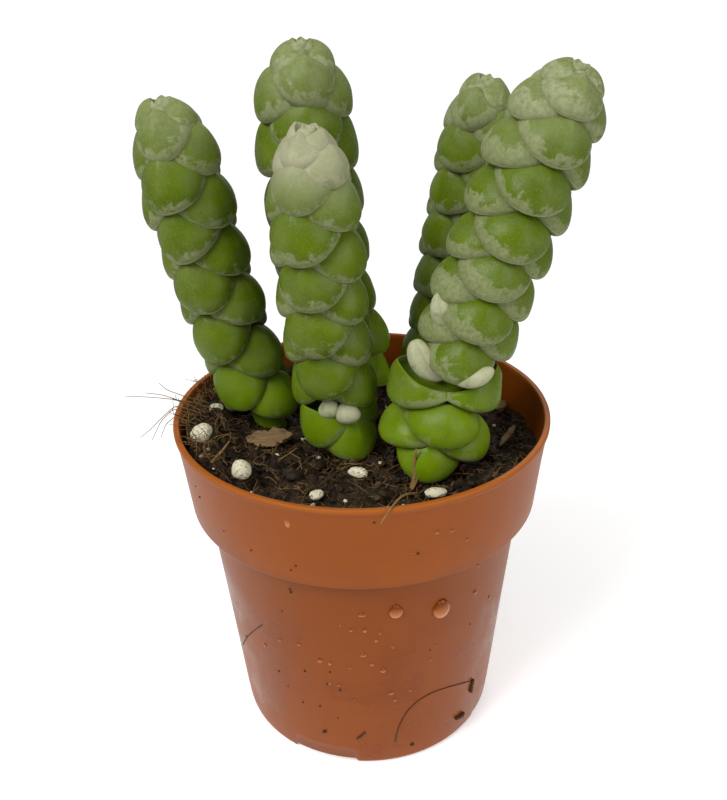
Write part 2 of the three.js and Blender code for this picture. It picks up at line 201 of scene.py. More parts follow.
# Hairs that hang out over the left rim
LONG_HAIRS = [
    [(-34, 3, 78.2), (-39, 3, 80.4), (-43.5, 3, 81.2), (-48.7, 3, 81.9), (-54.7, 4, 81.8)],
    [(-36, 1, 78.6), (-41, 2, 81), (-46, 3.5, 82.2), (-50, 4, 82.5)],
    [(-37, 0, 79), (-42.3, 0.5, 81), (-45.1, 0, 78.8), (-48.2, -3, 76.6), (-50.5, -4, 75.1)],
    [(-38, -1, 79), (-42.6, -1, 80.9), (-45.8, -1.4, 78), (-48, -3.4, 74)],
    [(-36, 6, 78.5), (-41, 5, 80.8), (-45, 5, 82.6), (-47, 6, 84)],
    [(-37, -4, 78.2), (-41.8, -4.6, 80.8), (-44, -5, 79), (-45.3, -5.6, 76)],
]
# Single roots and sticks: points, thickness and tint
ROOTS = [
    ([(11.1, -27.2, 73.6), (9.6, -31, 76.2), (7.6, -36.3, 79.2), (6.0, -40.8, 80.6), (4.6, -43.2, 80.2),
      (3.2, -43.1, 77.4)], 0.32, 0.95),
    ([(10.2, -22.6, 71.6), (10.9, -22.4, 74.4), (10.7, -22.0, 77.6), (11.2, -22.4, 81.4)], 0.62, 0.8),
    ([(10.0, -24.2, 72.4), (11.2, -22.9, 73.8), (12.4, -21.4, 76.8)], 0.4, 0.6),
    ([(-32.6, -16.6, 75.6), (-30.4, -12.6, 76.6), (-29.4, -9.4, 76.8)], 0.4, 0.95),
]

# Perlite grains: node, size and turn
GRAINS = [
    ("perlite_1", (3.4, 2.8, 2.2), 20), ("perlite_2", (5.2, 4.4, 4.0), 60),
    ("perlite_3", (4.2, 4.8, 4.4), 10), ("perlite_4", (3.0, 2.4, 1.8), 40),
    ("perlite_5", (4.4, 2.6, 2.2), -15), ("perlite_6", (4.6, 2.8, 1.9), 5),
    ("perlite_7", (3.2, 2.4, 1.8), 25), ("perlite_8", (3.0, 2.6, 2.2), 75),
]
# Chips: node, size, turn, tilt and seed
CHIPS = [
    ("bark_flake", (10.6, 5.0, 1.5), 12, 12, 4),
    ("bark_chip", (5.0, 2.6, 1.4), 65, 0, 9),
    ("wood_splinter", (10.5, 1.4, 1.1), 62, 6, 14),
]
CHIP_GRID = (60, 18)
CHIP_LAYERS = 3

# Colours, most of them as a pair that a noise mixes
LEAF_GREEN = ((0.052, 0.096, 0.0), (0.14, 0.206, 0.0003))
LEAF_FRESH = ((0.08, 0.158, 0.0), (0.2, 0.3, 0.0))
LEAF_BLOOM = ((0.16, 0.192, 0.066), (0.262, 0.292, 0.135))
TIP_BLOOM = ((0.215, 0.245, 0.105), (0.35, 0.372, 0.205))
FROST_BLOOM = ((0.3, 0.29, 0.17), (0.54, 0.52, 0.37))
BASE_BLOOM = (0.16, 0.23, 0.035)
LEAF_RIM = (0.4, 0.425, 0.23)
LEAF_SPOT = (0.11, 0.03, 0.012)
# Painted shade for the skin under the leaves' lips
LEAF_UNDER_SHADE = (0.018, 0.028, 0.003)
BUD_WHITE = ((0.32, 0.33, 0.18), (0.52, 0.52, 0.34))
BUD_GREEN = (0.16, 0.21, 0.06)
BUD_POWDER = (0.5, 0.5, 0.37)
TERRACOTTA = ((0.32, 0.078, 0.007), (0.262, 0.06, 0.0045))
POT_WET = (0.2, 0.043, 0.004)
POT_BAND = (0.2, 0.052, 0.013)
POT_CHALK = (0.45, 0.27, 0.16)
POT_BODY = (0.15, 0.031, 0.001)
# Painted highlight for the top of the rim
POT_RIM_HIGHLIGHT = (0.42, 0.125, 0.02)
PEAT_BROWN = ((0.003, 0.0018, 0.0012), (0.044, 0.026, 0.0125))
PEAT_LIGHT = (0.105, 0.058, 0.027)
PEAT_MOSS = (0.06, 0.048, 0.014)
FIBRE_BROWN = ((0.035, 0.018, 0.009), (0.34, 0.2, 0.07))
FIBRE_DARK = (0.08, 0.04, 0.018)
PERLITE_WHITE = ((0.56, 0.5, 0.31), (0.8, 0.76, 0.6))
PERLITE_PIT = (0.42, 0.35, 0.19)
BARK_BROWN = ((0.03, 0.013, 0.005), (0.4, 0.25, 0.105))
BARK_DARK = (0.03, 0.016, 0.009)
# Painted light and shade of the drops, darker at the top and brighter at the bottom
DROP_PAINTED_LIGHT = ((0.2, 0.045, 0.005), (0.55, 0.17, 0.03))
FLOOR_WHITE = ((0.86, 0.86, 0.855), (0.9, 0.9, 0.895))

# Floor and light, in metres and watts. The floor fades into the surroundings between two distances.
FLOOR_FADE = (0.06, 0.30)
FLOOR_GLOW = 0.4
FLOOR_REACH = 9000
FLOOR_DROP = -0.2
AMBIENT = 0.27
BACKDROP = 1.05
SUN_POWER = 0.6
SUN_WIDTH = 60
SUN_TILT = (28, -18)
LAMP_AIM = (0, 0, 0.09)
LAMPS = (
    ("key", (-0.42, -0.40, 0.62), 0.36, 4.3),
    ("fill", (0.55, -0.42, 0.30), 0.50, 2.3),
    ("back", (0.15, 0.60, 0.55), 0.45, 1.2),
)

rng = np.random.default_rng(21)

HASH_STEPS = np.array([374761393, 668265263, 1442695041])
HASH_MIX = 1274126177


# Smooth random fields
def lattice(cell, seed):
    """Integer hash of lattice points, as numbers from 0 to 1."""
    h = (cell @ HASH_STEPS + seed * HASH_MIX) & 0xFFFFFFFF
    h = ((h ^ (h >> 13)) * HASH_MIX) & 0xFFFFFFFF
    return ((h ^ (h >> 16)) & 0xFFFFFF) / 0xFFFFFF


def field(points, size, seed=0):
    """Values from 0 to 1 that change over about size millimetres."""
    p = np.asarray(points, float) / size
    cell = np.floor(p).astype(np.int64)
    f = smooth(p - cell)
    weights = (1 - f, f)
    total = 0.0
    for dx, dy, dz in np.ndindex(2, 2, 2):
        weight = weights[dx][..., 0] * weights[dy][..., 1] * weights[dz][..., 2]
        total = total + weight * lattice(cell + (dx, dy, dz), seed)
    return total


def rough_field(points, size, octaves=3, seed=0):
    """Layered field round 0."""
    total, weight, share = 0.0, 0.0, 1.0
    for i in range(octaves):
        total = total + share * field(points, size / 2 ** i, seed + 17 * i)
        weight += share
        share *= 0.5
    return total / weight - 0.5


def smooth(value):
    t = np.clip(value, 0, 1)
    return t * t * (3 - 2 * t)


# Mesh helpers
def add_object(name, data):
    item = bpy.data.objects.new(name, data)
    bpy.context.scene.collection.objects.link(item)
    return item


def new_piece(name, verts, faces, material, fields=None, smooth_faces=True):
    mesh = bpy.data.meshes.new(name)
    mesh.from_pydata((np.asarray(verts, float) * MM).tolist(), [], [list(f) for f in faces])
    mesh.materials.append(material)
    for key, values in (fields or {}).items():
        layer = mesh.attributes.new(key, "FLOAT_VECTOR", "POINT")
        layer.data.foreach_set("vector", np.asarray(values, np.float32).ravel())
    mesh.polygons.foreach_set("use_smooth", np.full(len(mesh.polygons), smooth_faces))
    mesh.update()
    return add_object(name, mesh)


def dress(piece, slot, *nodes):
    """Puts a piece on the plant's one body and hides the solids it stands for."""
    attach(piece, "root")
    if nodes:
        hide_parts(*nodes)


def first_only(values):
    """A value per point with two empty ones beside it, as the attributes want them."""
    return np.outer(values, (1, 0, 0))


def box_middle(node):
    low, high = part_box(node)
    return (np.array(low) + np.array(high)) / 2 / MM


def unit(vectors):
    return vectors / (np.linalg.norm(vectors, axis=-1, keepdims=True) + 1e-12)


def circle(sides):
    return np.arange(sides) * 2 * math.pi / sides


def polar(radius, angle, z):
    x = np.asarray(radius * np.cos(angle))
    return np.stack([x, radius * np.sin(angle), np.broadcast_to(z, x.shape)], -1)


def grid_faces(columns, rows, closed=True):
    """Quads of a grid of points stored column by column."""
    c = np.arange(columns if closed else columns - 1)
    r = np.arange(rows - 1)
    a = (c[:, None] * rows + r[None, :]).ravel()
    n = (((c + 1) % columns)[:, None] * rows + r[None, :]).ravel()
    return np.stack([a, n, n + 1, a + 1], 1).tolist()


def capped_faces(columns, rows):
    """Faces of a closed grid, with fans to the low and the high point stored after it."""
    faces = grid_faces(columns, rows)
    low, high = columns * rows, columns * rows + 1
    for c in range(columns):
        n = (c + 1) % columns
        faces.append([low, n * rows, c * rows])
        faces.append([high, c * rows + rows - 1, n * rows + rows - 1])
    return faces


class Builder:
    """Collects many small shapes into one mesh."""

    def __init__(self):
        self.verts, self.faces, self.fields, self.count = [], [], [], 0

    def add(self, verts, faces, values=(0, 0, 0)):
        verts = np.asarray(verts, float)
        self.verts.append(verts)
        self.faces.extend([[i + self.count for i in f] for f in faces])
        self.fields.append(np.broadcast_to(values, (len(verts), 3)))
        self.count += len(verts)

    def piece(self, name, material, smooth_faces=True):
        return new_piece(name, np.concatenate(self.verts), self.faces, material,
                         {"tint": np.concatenate(self.fields)}, smooth_faces)


def ball(subdivisions):
    work = bmesh.new()
    bmesh.ops.create_icosphere(work, subdivisions=subdivisions, radius=1.0)
    verts = np.array([v.co[:] for v in work.verts])
    faces = [[v.index for v in f.verts] for f in work.faces]
    work.free()
    return verts, faces


BALLS = {n: ball(n) for n in (1, 2, 3, 4, 5)}


def turn_matrix(axis, degrees):
    return np.array(Matrix.Rotation(math.radians(degrees), 3, Vector(axis)))


def random_turn():
    return np.array(Quaternion(rng.normal(size=4).tolist()).normalized().to_matrix())


def tube(path, radii, sides):
    """Closed tube along points."""
    path = np.asarray(path, float)
    radii = np.broadcast_to(radii, (len(path),))
    run = unit(np.gradient(path, axis=0))
    guide = np.array([0.3, 0.2, 0.93]) if abs(run[0][2]) < 0.9 else np.array([1.0, 0.1, 0.0])
    angle = circle(sides)[:, None]
    verts = []
    for p, d, r in zip(path, run, radii):
        guide = unit(guide - d * (guide @ d))
        verts.append(p + r * (np.cos(angle) * guide + np.sin(angle) * np.cross(d, guide)))
    rows = len(path)
    ends = [[k * rows for k in range(sides)][::-1], [k * rows + rows - 1 for k in range(sides)]]
    return np.stack(verts, 1).reshape(-1, 3), grid_faces(sides, rows) + ends


def smooth_path(points, count):
    """Points of a smooth curve through the given ones."""
    points = np.array(points, float)
    given = np.linspace(0, 1, len(points))
    t = np.linspace(0, 1, count)
    rough = np.stack([np.interp(t, given, points[:, k]) for k in range(3)], 1)
    for _ in range(2):
        rough[1:-1] = (rough[:-2] + 2 * rough[1:-1] + rough[2:]) / 4
    return rough


# Node helpers
class Nodes:
    """One material. Noise scales and places are per metre and in metres."""

    def __init__(self, name):
        self.material = bpy.data.materials.new(name)
        self.material.use_nodes = True
        self.tree = self.material.node_tree
        self.tree.nodes.clear()
        self.shader = self.tree.nodes.new("ShaderNodeBsdfPrincipled")
        self.make("ShaderNodeOutputMaterial", {0: self.shader.outputs[0]}, None)
        self.place = self.make("ShaderNodeTexCoord", {}, "Object")

    def make(self, kind, inputs, out=0, **settings):
        """New node whose inputs take values or sockets. Gives one of its outputs."""
        node = self.tree.nodes.new(kind)
        for key, value in settings.items():
            setattr(node, key, value)
        for key, value in inputs.items():
            self.put(node.inputs[key], value)
        return None if out is None else node.outputs[out]

    def put(self, target, value):
        if isinstance(value, bpy.types.NodeSocket):
            self.tree.links.new(value, target)
        elif target.type == "RGBA":
            target.default_value = (*value, 1)
        else:
            target.default_value = value

    def set(self, **values):
        for key, value in values.items():
            self.put(self.shader.inputs[key.replace("_", " ")], value)

    def flesh(self, weight, radius, scale):
        self.set(Subsurface_Weight=weight, Subsurface_Radius=radius, Subsurface_Scale=scale)

    def calc(self, kind, a, b=0.0):
        return self.make("ShaderNodeMath", {0: a, 1: b}, operation=kind)

    def plus(self, first, *others):
        for item in others:
            first = self.calc("ADD", first, item)
        return first

    def times(self, a, b):
        return self.calc("MULTIPLY", a, b)

    def minus(self, a, b):
        return self.calc("SUBTRACT", a, b)

    def swing(self, noise, size):
        """A noise round 0 with a given size."""
        return self.times(self.minus(noise, 0.5), size)

    def without(self, share, taken):
        return self.times(share, self.minus(1.0, taken))

    def ramp(self, value, low, high, to_low=0.0, to_high=1.0):
        inputs = {0: value, 1: low, 2: high, 3: to_low, 4: to_high}
        return self.make("ShaderNodeMapRange", inputs, interpolation_type="SMOOTHSTEP")

    def noise(self, scale, detail, rough, place=None, warp=0.0):
        inputs = {"Vector": place or self.place, "Scale": scale, "Detail": detail, "Roughness": rough}
        return self.make("ShaderNodeTexNoise", {**inputs, "Distortion": warp})

    def patches(self, scale, detail, rough, low, high, most=1.0):
        """Noise with its values between low and high spread from 0 to most."""
        return self.ramp(self.noise(scale, detail, rough), low, high, 0.0, most)

    def cells(self, scale, place=None):
        return self.make("ShaderNodeTexVoronoi", {"Vector": place or self.place, "Scale": scale})

    def warped(self, scale, reach):
        """Place pushed about by a coloured noise."""
        noise = self.make("ShaderNodeTexNoise", {"Vector": self.place, "Scale": scale}, "Color")
        inputs = {0: noise, 1: (reach, reach, reach), 2: self.place}
        return self.make("ShaderNodeVectorMath", inputs, operation="MULTIPLY_ADD")

    def stretch(self, scale):
        return self.make("ShaderNodeMapping", {"Vector": self.place, "Scale": scale})

    def mix(self, share, a, b):
        return self.make("ShaderNodeMix", {0: share, 6: a, 7: b}, 2, data_type="RGBA")

    def split(self, value):
        return self.make("ShaderNodeSeparateXYZ", {0: value}).node.outputs[:3]

    def attribute(self, key):
        return self.split(self.make("ShaderNodeAttribute", {}, "Vector", attribute_name=key))

    def done(self, tone, roughness, height, depth_mm, shine=0.5):
        """Sets colour, roughness, shine and a relief of some millimetres."""
        bump = self.make("ShaderNodeBump", {"Distance": depth_mm * MM, "Height": height})
        self.set(Base_Color=tone, Roughness=roughness, Specular_IOR_Level=shine, Normal=bump)
        return self.material


def leaf_material():
    """Green flesh under a pale powdery bloom that is thickest along the edges and on the tips."""
    m = Nodes("leaf_skin")
    across, edge_mm, chance = m.attribute("leaf")
    along, pale, inner = m.attribute("plant")
    frost = m.attribute("frost")[0]
    patch = m.noise(330, 3, 0.6, warp=0.6)
    ragged = m.noise(1500, 5, 0.7)
    fine = m.noise(5200, 3, 0.6)
    grain = m.noise(3100, 2, 0.7)
    tip = m.ramp(along, 0.8, 1.02)
    base = m.ramp(along, 0.36, 0.14)
    # The skin is bare where it lies further from the leaf's edge than the bloom reaches, in millimetres
    reach = m.plus(edge_mm, m.swing(patch, 9.5), m.swing(ragged, 3.4), m.swing(fine, 2.6))
    side = m.times(m.calc("POWER", m.calc("ABSOLUTE", across), 3.0), 2.4)
    need = m.plus(0.6, side, m.times(chance, 1.6), m.times(pale, 4.4), m.times(tip, 1.6))
    need = m.minus(need, m.times(base, 0.9))
    film = m.without(m.ramp(m.minus(reach, need), -0.4, 0.5), m.ramp(fine, 0.56, 0.68, 0.0, 0.7))
    worn = m.times(m.ramp(grain, 0.6, 0.72), m.ramp(patch, 0.42, 0.6))
    film = m.calc("MAXIMUM", film, m.times(worn, 0.45))
    for taken in (m.patches(170, 2, 0.5, 0.35, 0.7, 0.22), m.times(tip, 0.5), m.times(frost, 0.75)):
        film = m.without(film, taken)
    shade = m.noise(210, 2, 0.5)
    green = m.mix(m.calc("MAXIMUM", base, inner), m.mix(shade, *LEAF_GREEN), m.mix(shade, *LEAF_FRESH))
    bloom = m.mix(m.patches(1300, 4, 0.65, 0.25, 0.75), *LEAF_BLOOM)
    white = m.mix(m.patches(1100, 4, 0.65, 0.25, 0.75), *TIP_BLOOM)
    bloom = m.mix(tip, bloom, white)
    bloom = m.mix(frost, bloom, m.mix(ragged, *FROST_BLOOM))
    bloom = m.mix(m.times(base, 0.7), bloom, BASE_BLOOM)
    skin = m.mix(film, bloom, green)
    rim = m.times(m.ramp(edge_mm, 0.5, 0.22), m.ramp(edge_mm, 0.0, 0.1))
    skin = m.mix(m.times(rim, 0.75), skin, LEAF_RIM)
    spots = m.times(m.ramp(m.cells(150), 0.075, 0.03), m.patches(90, 1, 0.5, 0.52, 0.6))
    skin = m.mix(m.times(spots, 0.6), skin, LEAF_SPOT)
    # Painted shade: the skin below each leaf's lip darkens towards the stem
    skin = m.mix(m.times(m.ramp(edge_mm, -0.25, -1.0), 0.75), skin, LEAF_UNDER_SHADE)
    m.flesh(0.08, (0.6, 1.0, 0.2), 0.0015)
    height = m.plus(m.times(fine, 0.35), m.times(ragged, 0.65))
    height = m.minus(height, m.times(film, 0.5))
    return m.done(skin, m.ramp(film, 0.0, 1.0, 0.6, 0.2), height, 0.07, 0.14)


def bud_material():
    m = Nodes("bud_skin")
    tone = m.mix(m.noise(800, 4, 0.6), *BUD_WHITE)
    tone = m.mix(m.patches(400, 3, 0.6, 0.52, 0.7, 0.6), tone, BUD_GREEN)
    tone = m.mix(m.patches(4200, 2, 0.6, 0.6, 0.72, 0.5), tone, BUD_POWDER)
    m.flesh(0.15, (0.6, 1.0, 0.4), 0.0015)
    return m.done(tone, 0.55, m.noise(3500, 4, 0.6), 0.05, 0.2)


def pot_material():
    """Moulded plastic with water running into the low front, a dirty band on the collar and chalk specks."""
    m = Nodes("pot_plastic")
    x, y, z = m.split(m.place)
    tone = m.mix(m.noise(24, 3, 0.5), *TERRACOTTA)
    streak = m.noise(1, 5, 0.6, m.stretch((160, 160, 26)))
    low = m.times(m.ramp(z, 0.052, 0.036), m.ramp(y, 0.0, -0.02))
    soaked = m.plus(m.noise(60, 4, 0.6, warp=0.5), m.times(streak, 0.3))
    wet = m.times(m.ramp(soaked, 0.55, 0.85), m.plus(m.times(low, 0.75), 0.12))
    tone = m.mix(m.times(wet, 0.7), tone, POT_WET)
    band = m.times(m.ramp(z, 0.0685, 0.062), m.ramp(z, 0.0585, 0.0605))
    band = m.times(band, m.patches(48, 3, 0.6, 0.42, 0.6))
    tone = m.mix(m.times(band, 0.35), tone, POT_BAND)
    chalk = m.times(m.patches(2600, 2, 0.5, 0.69, 0.76), m.patches(70, 2, 0.5, 0.5, 0.66))
    tone = m.mix(m.times(chalk, 0.22), tone, POT_CHALK)
    tone = m.mix(m.ramp(z, 0.061, 0.0585, 0.0, 0.45), tone, POT_BODY)
    # Painted highlight: the top of the rim is lightened
    tone = m.mix(m.times(m.ramp(z, 0.0788, 0.0796), 0.55), tone, POT_RIM_HIGHLIGHT)
    gloss = m.plus(m.times(wet, 0.8), m.times(streak, 0.35))
    m.flesh(0.06, (1.0, 0.35, 0.1), 0.002)
    lines = m.ramp(m.noise(1, 3, 0.5, m.stretch((3, 3, 1100))), 0.42, 0.62)
    height = m.plus(m.times(streak, 0.5), m.times(m.noise(900, 4, 0.6), 0.25), m.times(lines, 0.12))
    return m.done(tone, m.ramp(gloss, 0.0, 1.1, 0.4, 0.2), height, 0.05, 0.14)


def soil_material():
    m = Nodes("peat")
    tone = m.mix(m.patches(420, 5, 0.65, 0.32, 0.68), *PEAT_BROWN)
    tone = m.mix(m.ramp(m.attribute("tint")[0], 0.55, 1.0), tone, PEAT_LIGHT)
    moss = m.times(m.patches(60, 3, 0.6, 0.52, 0.66), 0.45)
    tone = m.mix(moss, tone, PEAT_MOSS)
    damp = m.ramp(m.noise(300, 3, 0.6), 0.35, 0.65, 0.3, 0.9)
    return m.done(tone, damp, m.noise(2400, 5, 0.7), 0.25, 0.2)


def fibre_material():
    m = Nodes("fibre")
    tone = m.mix(m.attribute("tint")[0], *FIBRE_BROWN)
    tone = m.mix(m.patches(900, 3, 0.6, 0.4, 0.7, 0.5), tone, FIBRE_DARK)
    return m.done(tone, 0.7, m.noise(4000, 3, 0.6), 0.05, 0.2)


def perlite_material():
    m = Nodes("perlite_grain")
    tone = m.mix(m.noise(700, 4, 0.6), *PERLITE_WHITE)
    pit = m.ramp(m.cells(1300, m.warped(700, 0.0006)), 0.12, 0.4)
    tone = m.mix(m.minus(1.0, pit), tone, PERLITE_PIT)
    return m.done(tone, 0.85, m.plus(m.times(pit, 0.7), m.noise(2600, 4, 0.6)), 0.18)


def bark_material():
    m = Nodes("bark_wood")
    grain = m.noise(1, 6, 0.65, m.stretch((260, 1900, 1900)))
    tone = m.mix(grain, *BARK_BROWN)
    tone = m.mix(m.patches(380, 3, 0.6, 0.55, 0.75), tone, BARK_DARK)
    return m.done(tone, 0.8, grain, 0.6)


def drop_material():
    """Water that shows the pot's colour, with painted light: darker above and brighter below."""
    m = Nodes("wet_drop")
    tone = m.mix(m.ramp(m.attribute("tint")[0], 0.15, 0.95), *DROP_PAINTED_LIGHT)
    return m.done(tone, 0.06, m.noise(500, 2, 0.5), 0.02, 0.35)


def floor_material():
    m = Nodes("floor_paint")
    tone = m.mix(m.noise(3, 3, 0.5), *FLOOR_WHITE)
    x, y, z = m.split(m.place)
    radius = m.calc("SQRT", m.plus(m.times(x, x), m.times(y, y)))
    m.set(Base_Color=tone, Roughness=0.75, Alpha=m.ramp(radius, FLOOR_FADE[1], FLOOR_FADE[0]))
    m.set(Emission_Color=(1.0, 1.0, 1.0), Emission_Strength=FLOOR_GLOW)
    return m.material


PEAT = soil_material()
FIBRE = fibre_material()
PERLITE = perlite_material()


# Stem axis and leaves
def stem_axis(stem, height):
    foot, tip = np.array(stem["foot"], float), np.array(stem["tip"], float)
    bow = np.array([*stem["bow"], 0.0])
    run = tip - foot
    share = height / np.linalg.norm(run)
    point = foot + run * share + bow * 4 * share * (1 - share)
    direction = run + bow * 4 * (1 - 2 * share)
    return point, unit(direction)


def stem_frame(stem, height, degrees, lean=0.0):
    """Point on the axis, and axes that face a heading and follow the stem."""
    point, direction = stem_axis(stem, height)
    direction = turn_matrix((0, 1, 0), lean) @ direction
    x = polar(1.0, math.radians(degrees), 0.0)
    x = unit(x - direction * (x @ direction))
    return point, np.stack([x, np.cross(direction, x), direction])


def superellipse(share, roundness):
    """Part of the way round a rounded corner: what is left across, and how far up."""
    u = share * math.pi / 2
    return abs(math.cos(u)) ** (2 / roundness), abs(math.sin(u)) ** (2 / roundness)


def leaf_pair(radius, pitch, top_inset, hollow, seed, sides, rows):
    """Points of one joined pair of leaves, with where each lies on its leaf."""
    draw = np.random.default_rng(seed)
    offset = LOBE_OFFSET * radius
    lobe = radius - offset
    joint = math.pi - math.acos(offset / lobe)
    angle = circle(sides)
    across = (angle + math.pi / 2) % math.pi - math.pi / 2
    which = (np.cos(angle) < 0).astype(int)
    outer = offset * np.cos(across) + np.sqrt(lobe ** 2 - (offset * np.sin(across)) ** 2)
    share = np.arctan2(outer * np.sin(across), outer * np.cos(across) - offset) / joint
    # Small differences from leaf to leaf
    middle = np.clip(1 - np.abs(share) ** 2, 0, 1)
    swell = draw.normal(0, 0.022, 2)[which] * middle
    droop = draw.normal(0, 0.05, 2)[which] * middle * pitch
    skew = draw.normal(0, 0.04, 2)[which] * np.sin(share * math.pi) * pitch
    wave = 0.035 * pitch * np.sin(3 * angle + draw.uniform(0, 6)) * middle
    low = LEAF_RISE * pitch * (1 - np.cos(share * math.pi / 2)) + droop + skew + wave
    width = 1 - np.abs(share) ** LEAF_POINT
    high = pitch * (JOINT_HEIGHT + (APEX_HEIGHT - JOINT_HEIGHT) * width) + droop
    tall = high - low
    outer = outer * (1 + swell)
    # Flatter cheeks on either side of a blunt middle ridge on the upper half of the leaf
    knee = math.radians(CHEEK_ANGLE)
    reach = offset * math.cos(knee) + math.sqrt(lobe ** 2 - (offset * math.sin(knee)) ** 2)
    kx, ky = reach * math.cos(knee), reach * math.sin(knee)
    bend = np.abs(across)
    flat = np.where(bend < knee, radius * ky / ((radius - kx) * np.sin(bend) + ky * np.cos(bend)), outer)
    flat = np.minimum(flat * (1 + swell), outer)
    # Profile from the lip up over the belly to the top edge, then down inside it
    columns = []
    low_rows = rows // 2
    high_rows = rows - low_rows
    for i in range(low_rows):
        left, out = superellipse((i / low_rows) ** 0.9, LOW_ROUNDNESS)
        columns.append((outer * (LIP_INSET + (1 - LIP_INSET) * out), low + BELLY * tall * (1 - left)))
    for i in range(high_rows + 1):
        out, up = superellipse(i / high_rows, TOP_ROUNDNESS)
        body = outer + (flat - outer) * CHEEK_FLATNESS * up
        columns.append((body * (top_inset + (1 - top_inset) * out),
                        low + BELLY * tall + (1 - BELLY) * tall * up))
    r_top, z_top = columns[-1]
    core = hollow * pitch if hollow else z_top.mean() - 0.1 * pitch
    inner_rows = 8 if hollow else 2
    for i in range(1, inner_rows + 1):
        out, down = superellipse(i / (inner_rows + 1), INNER_ROUNDNESS)
        columns.append((r_top * out, z_top + (core - z_top) * down))
    r = np.stack([c[0] for c in columns], 1)
    z = np.stack([c[1] for c in columns], 1)
    # Distance from the leaf's lower edge along its skin, below 0 under the lip
    step = np.hypot(np.diff(r, axis=1), np.diff(z, axis=1))
    edge = np.concatenate([np.zeros((sides, 1)), np.cumsum(step, axis=1)], 1)
    edge = edge - edge[:, LIP_ROW:LIP_ROW + 1]
    chance = draw.uniform(0, 1, 2)[which][:, None] * np.ones_like(r)
    inside = np.zeros_like(r)
    inside[:, rows - 1:] = 1
    leaf = np.stack([share[:, None] * np.ones_like(r), edge, chance], -1)
    return polar(r, angle[:, None], z), leaf, inside, core


def own(stem, key, i, usual=0):
    """What a stem says of one of its pairs."""
    return stem.get(key, {}).get(i, usual)


def stations(stem):
    """Number, size, height up the axis and heading of each leaf pair, with the small crown pairs first."""
    sizes = stem.get("sizes", TIP_SIZES)
    quarter = PAIR_TURN + stem["twist"]
    found = []
    height = stem["top"]
    for back, size in enumerate(CROWN_SIZES[::-1], 1):
        height += stem["pitch"] * size ** PITCH_POWER + CROWN_RAISE
        found.append((-back, size, height, stem["angle"] - quarter * back))
    height, turn = stem["top"], 0.0
    for i in range(stem["pairs"]):
        height -= own(stem, "gaps", i)
        turn += own(stem, "turns", i)
        size = sizes[i] if i < len(sizes) else 1.0
        place = height + own(stem, "lift", i)
        found.append((i, size, place, stem["angle"] + quarter * i + turn))
        height -= stem["pitch"] * size ** PITCH_POWER
    return found


def top_form(i, opened):
    """Inset of a pair's top edge, and how deep the pair is hollow."""
    if opened:
        return OPEN_INSET, OPEN_DEPTH
    if i <= 0:
        return CROWN_INSET, CROWN_DEPTH
    return (TIP_INSETS[i] if i < len(TIP_INSETS) else TOP_INSET), 0.0


def add_pair(build, stem, number, i, size, height, heading):
    """Adds one pair of a stem and returns how high up, how pale and how far inside its points lie."""
    opened = own(stem, "opened", i)
    widen = 1 + stem["taper"] * (0.5 - i / stem["pairs"])
    radius = stem["radius"] * size * widen * (opened or own(stem, "scale", i, 1.0))
    pitch = stem["pitch"] * size
    seed = 1000 * (number + 1) + i
    grid = CROWN_GRID if i < 0 else PAIR_GRID
    points, leaf, inside, core = leaf_pair(radius, pitch, *top_form(i, opened), seed, *grid)
    draw = np.random.default_rng(seed + 500)
    place, axes = stem_frame(stem, height, heading + draw.normal(0, 2.0), own(stem, "lean", i))
    lean = turn_matrix((draw.normal(), draw.normal(), 0.01), draw.normal(0, 1.6))
    flat = np.concatenate([points.reshape(-1, 3), [[0, 0, 0.5 * pitch], [0, 0, core]]])
    verts = (flat @ lean.T) @ axes + place
    build.add(verts, capped_faces(*points.shape[:2]),
              np.concatenate([leaf.reshape(-1, 3), [[0, -9, 0.5], [0, 9, 0.5]]]))
    out = points.reshape(-1, 3) @ axes
    facing = -out[:, 0] / (np.linalg.norm(out[:, :2], axis=1) + 1e-6)
    along = (verts[:, 2] - STEM_START) / (stem["tip"][2] - STEM_START)
    part = along[:-2]
    patchy = 0.35 + 0.65 * np.exp(-((part - 0.5) / 0.15) ** 2)
    pale = stem["pale_side"] * 0.5 * (1 + facing) * patchy * smooth((part - 0.3) / 0.08)
    pale = pale + 0.12 * (facing > 0)
    inside = np.concatenate([inside.ravel(), [0, 1.0]]) * bool(opened)
    return np.stack([along, np.concatenate([pale, [0, 0]]), inside], 1)


def make_stem(stem, number, material):
    build = Builder()
    plant = [add_pair(build, stem, number, *station) for station in stations(stem)]
    verts = np.concatenate(build.verts)
    bulge = rough_field(verts, 4.5, 2, 40 + number)
    foot, tip = np.array(stem["foot"]), np.array(stem["tip"])
    share = (verts[:, 2] - foot[2]) / (tip[2] - foot[2])
    away = unit(verts - (foot + share[:, None] * (tip - foot)))
    verts = verts + away * bulge[:, None] * LEAF_BULGE
    # Neck that stands in the soil
    neck, neck_faces = tube([stem_axis(stem, h)[0] for h in np.linspace(*NECK_SPAN, 12)], NECK_RADIUS, 20)
    faces = build.faces + [[i + len(verts) for i in f] for f in neck_faces]
    leaf = np.concatenate(build.fields + [np.tile([0.0, 3.0, 0.5], (len(neck), 1))])
    plant = np.concatenate(plant + [np.tile([0.1, 0.3, 0.0], (len(neck), 1))])
    frost = stem.get("frost", 0.0) * smooth((plant[:, 0] - 0.82) / 0.16)
    piece = new_piece(stem["name"] + "_leaves", np.concatenate([verts, neck]), faces, material,
                      {"leaf": leaf, "plant": plant, "frost": first_only(frost)})
    dress(piece, "leaf", stem["name"])


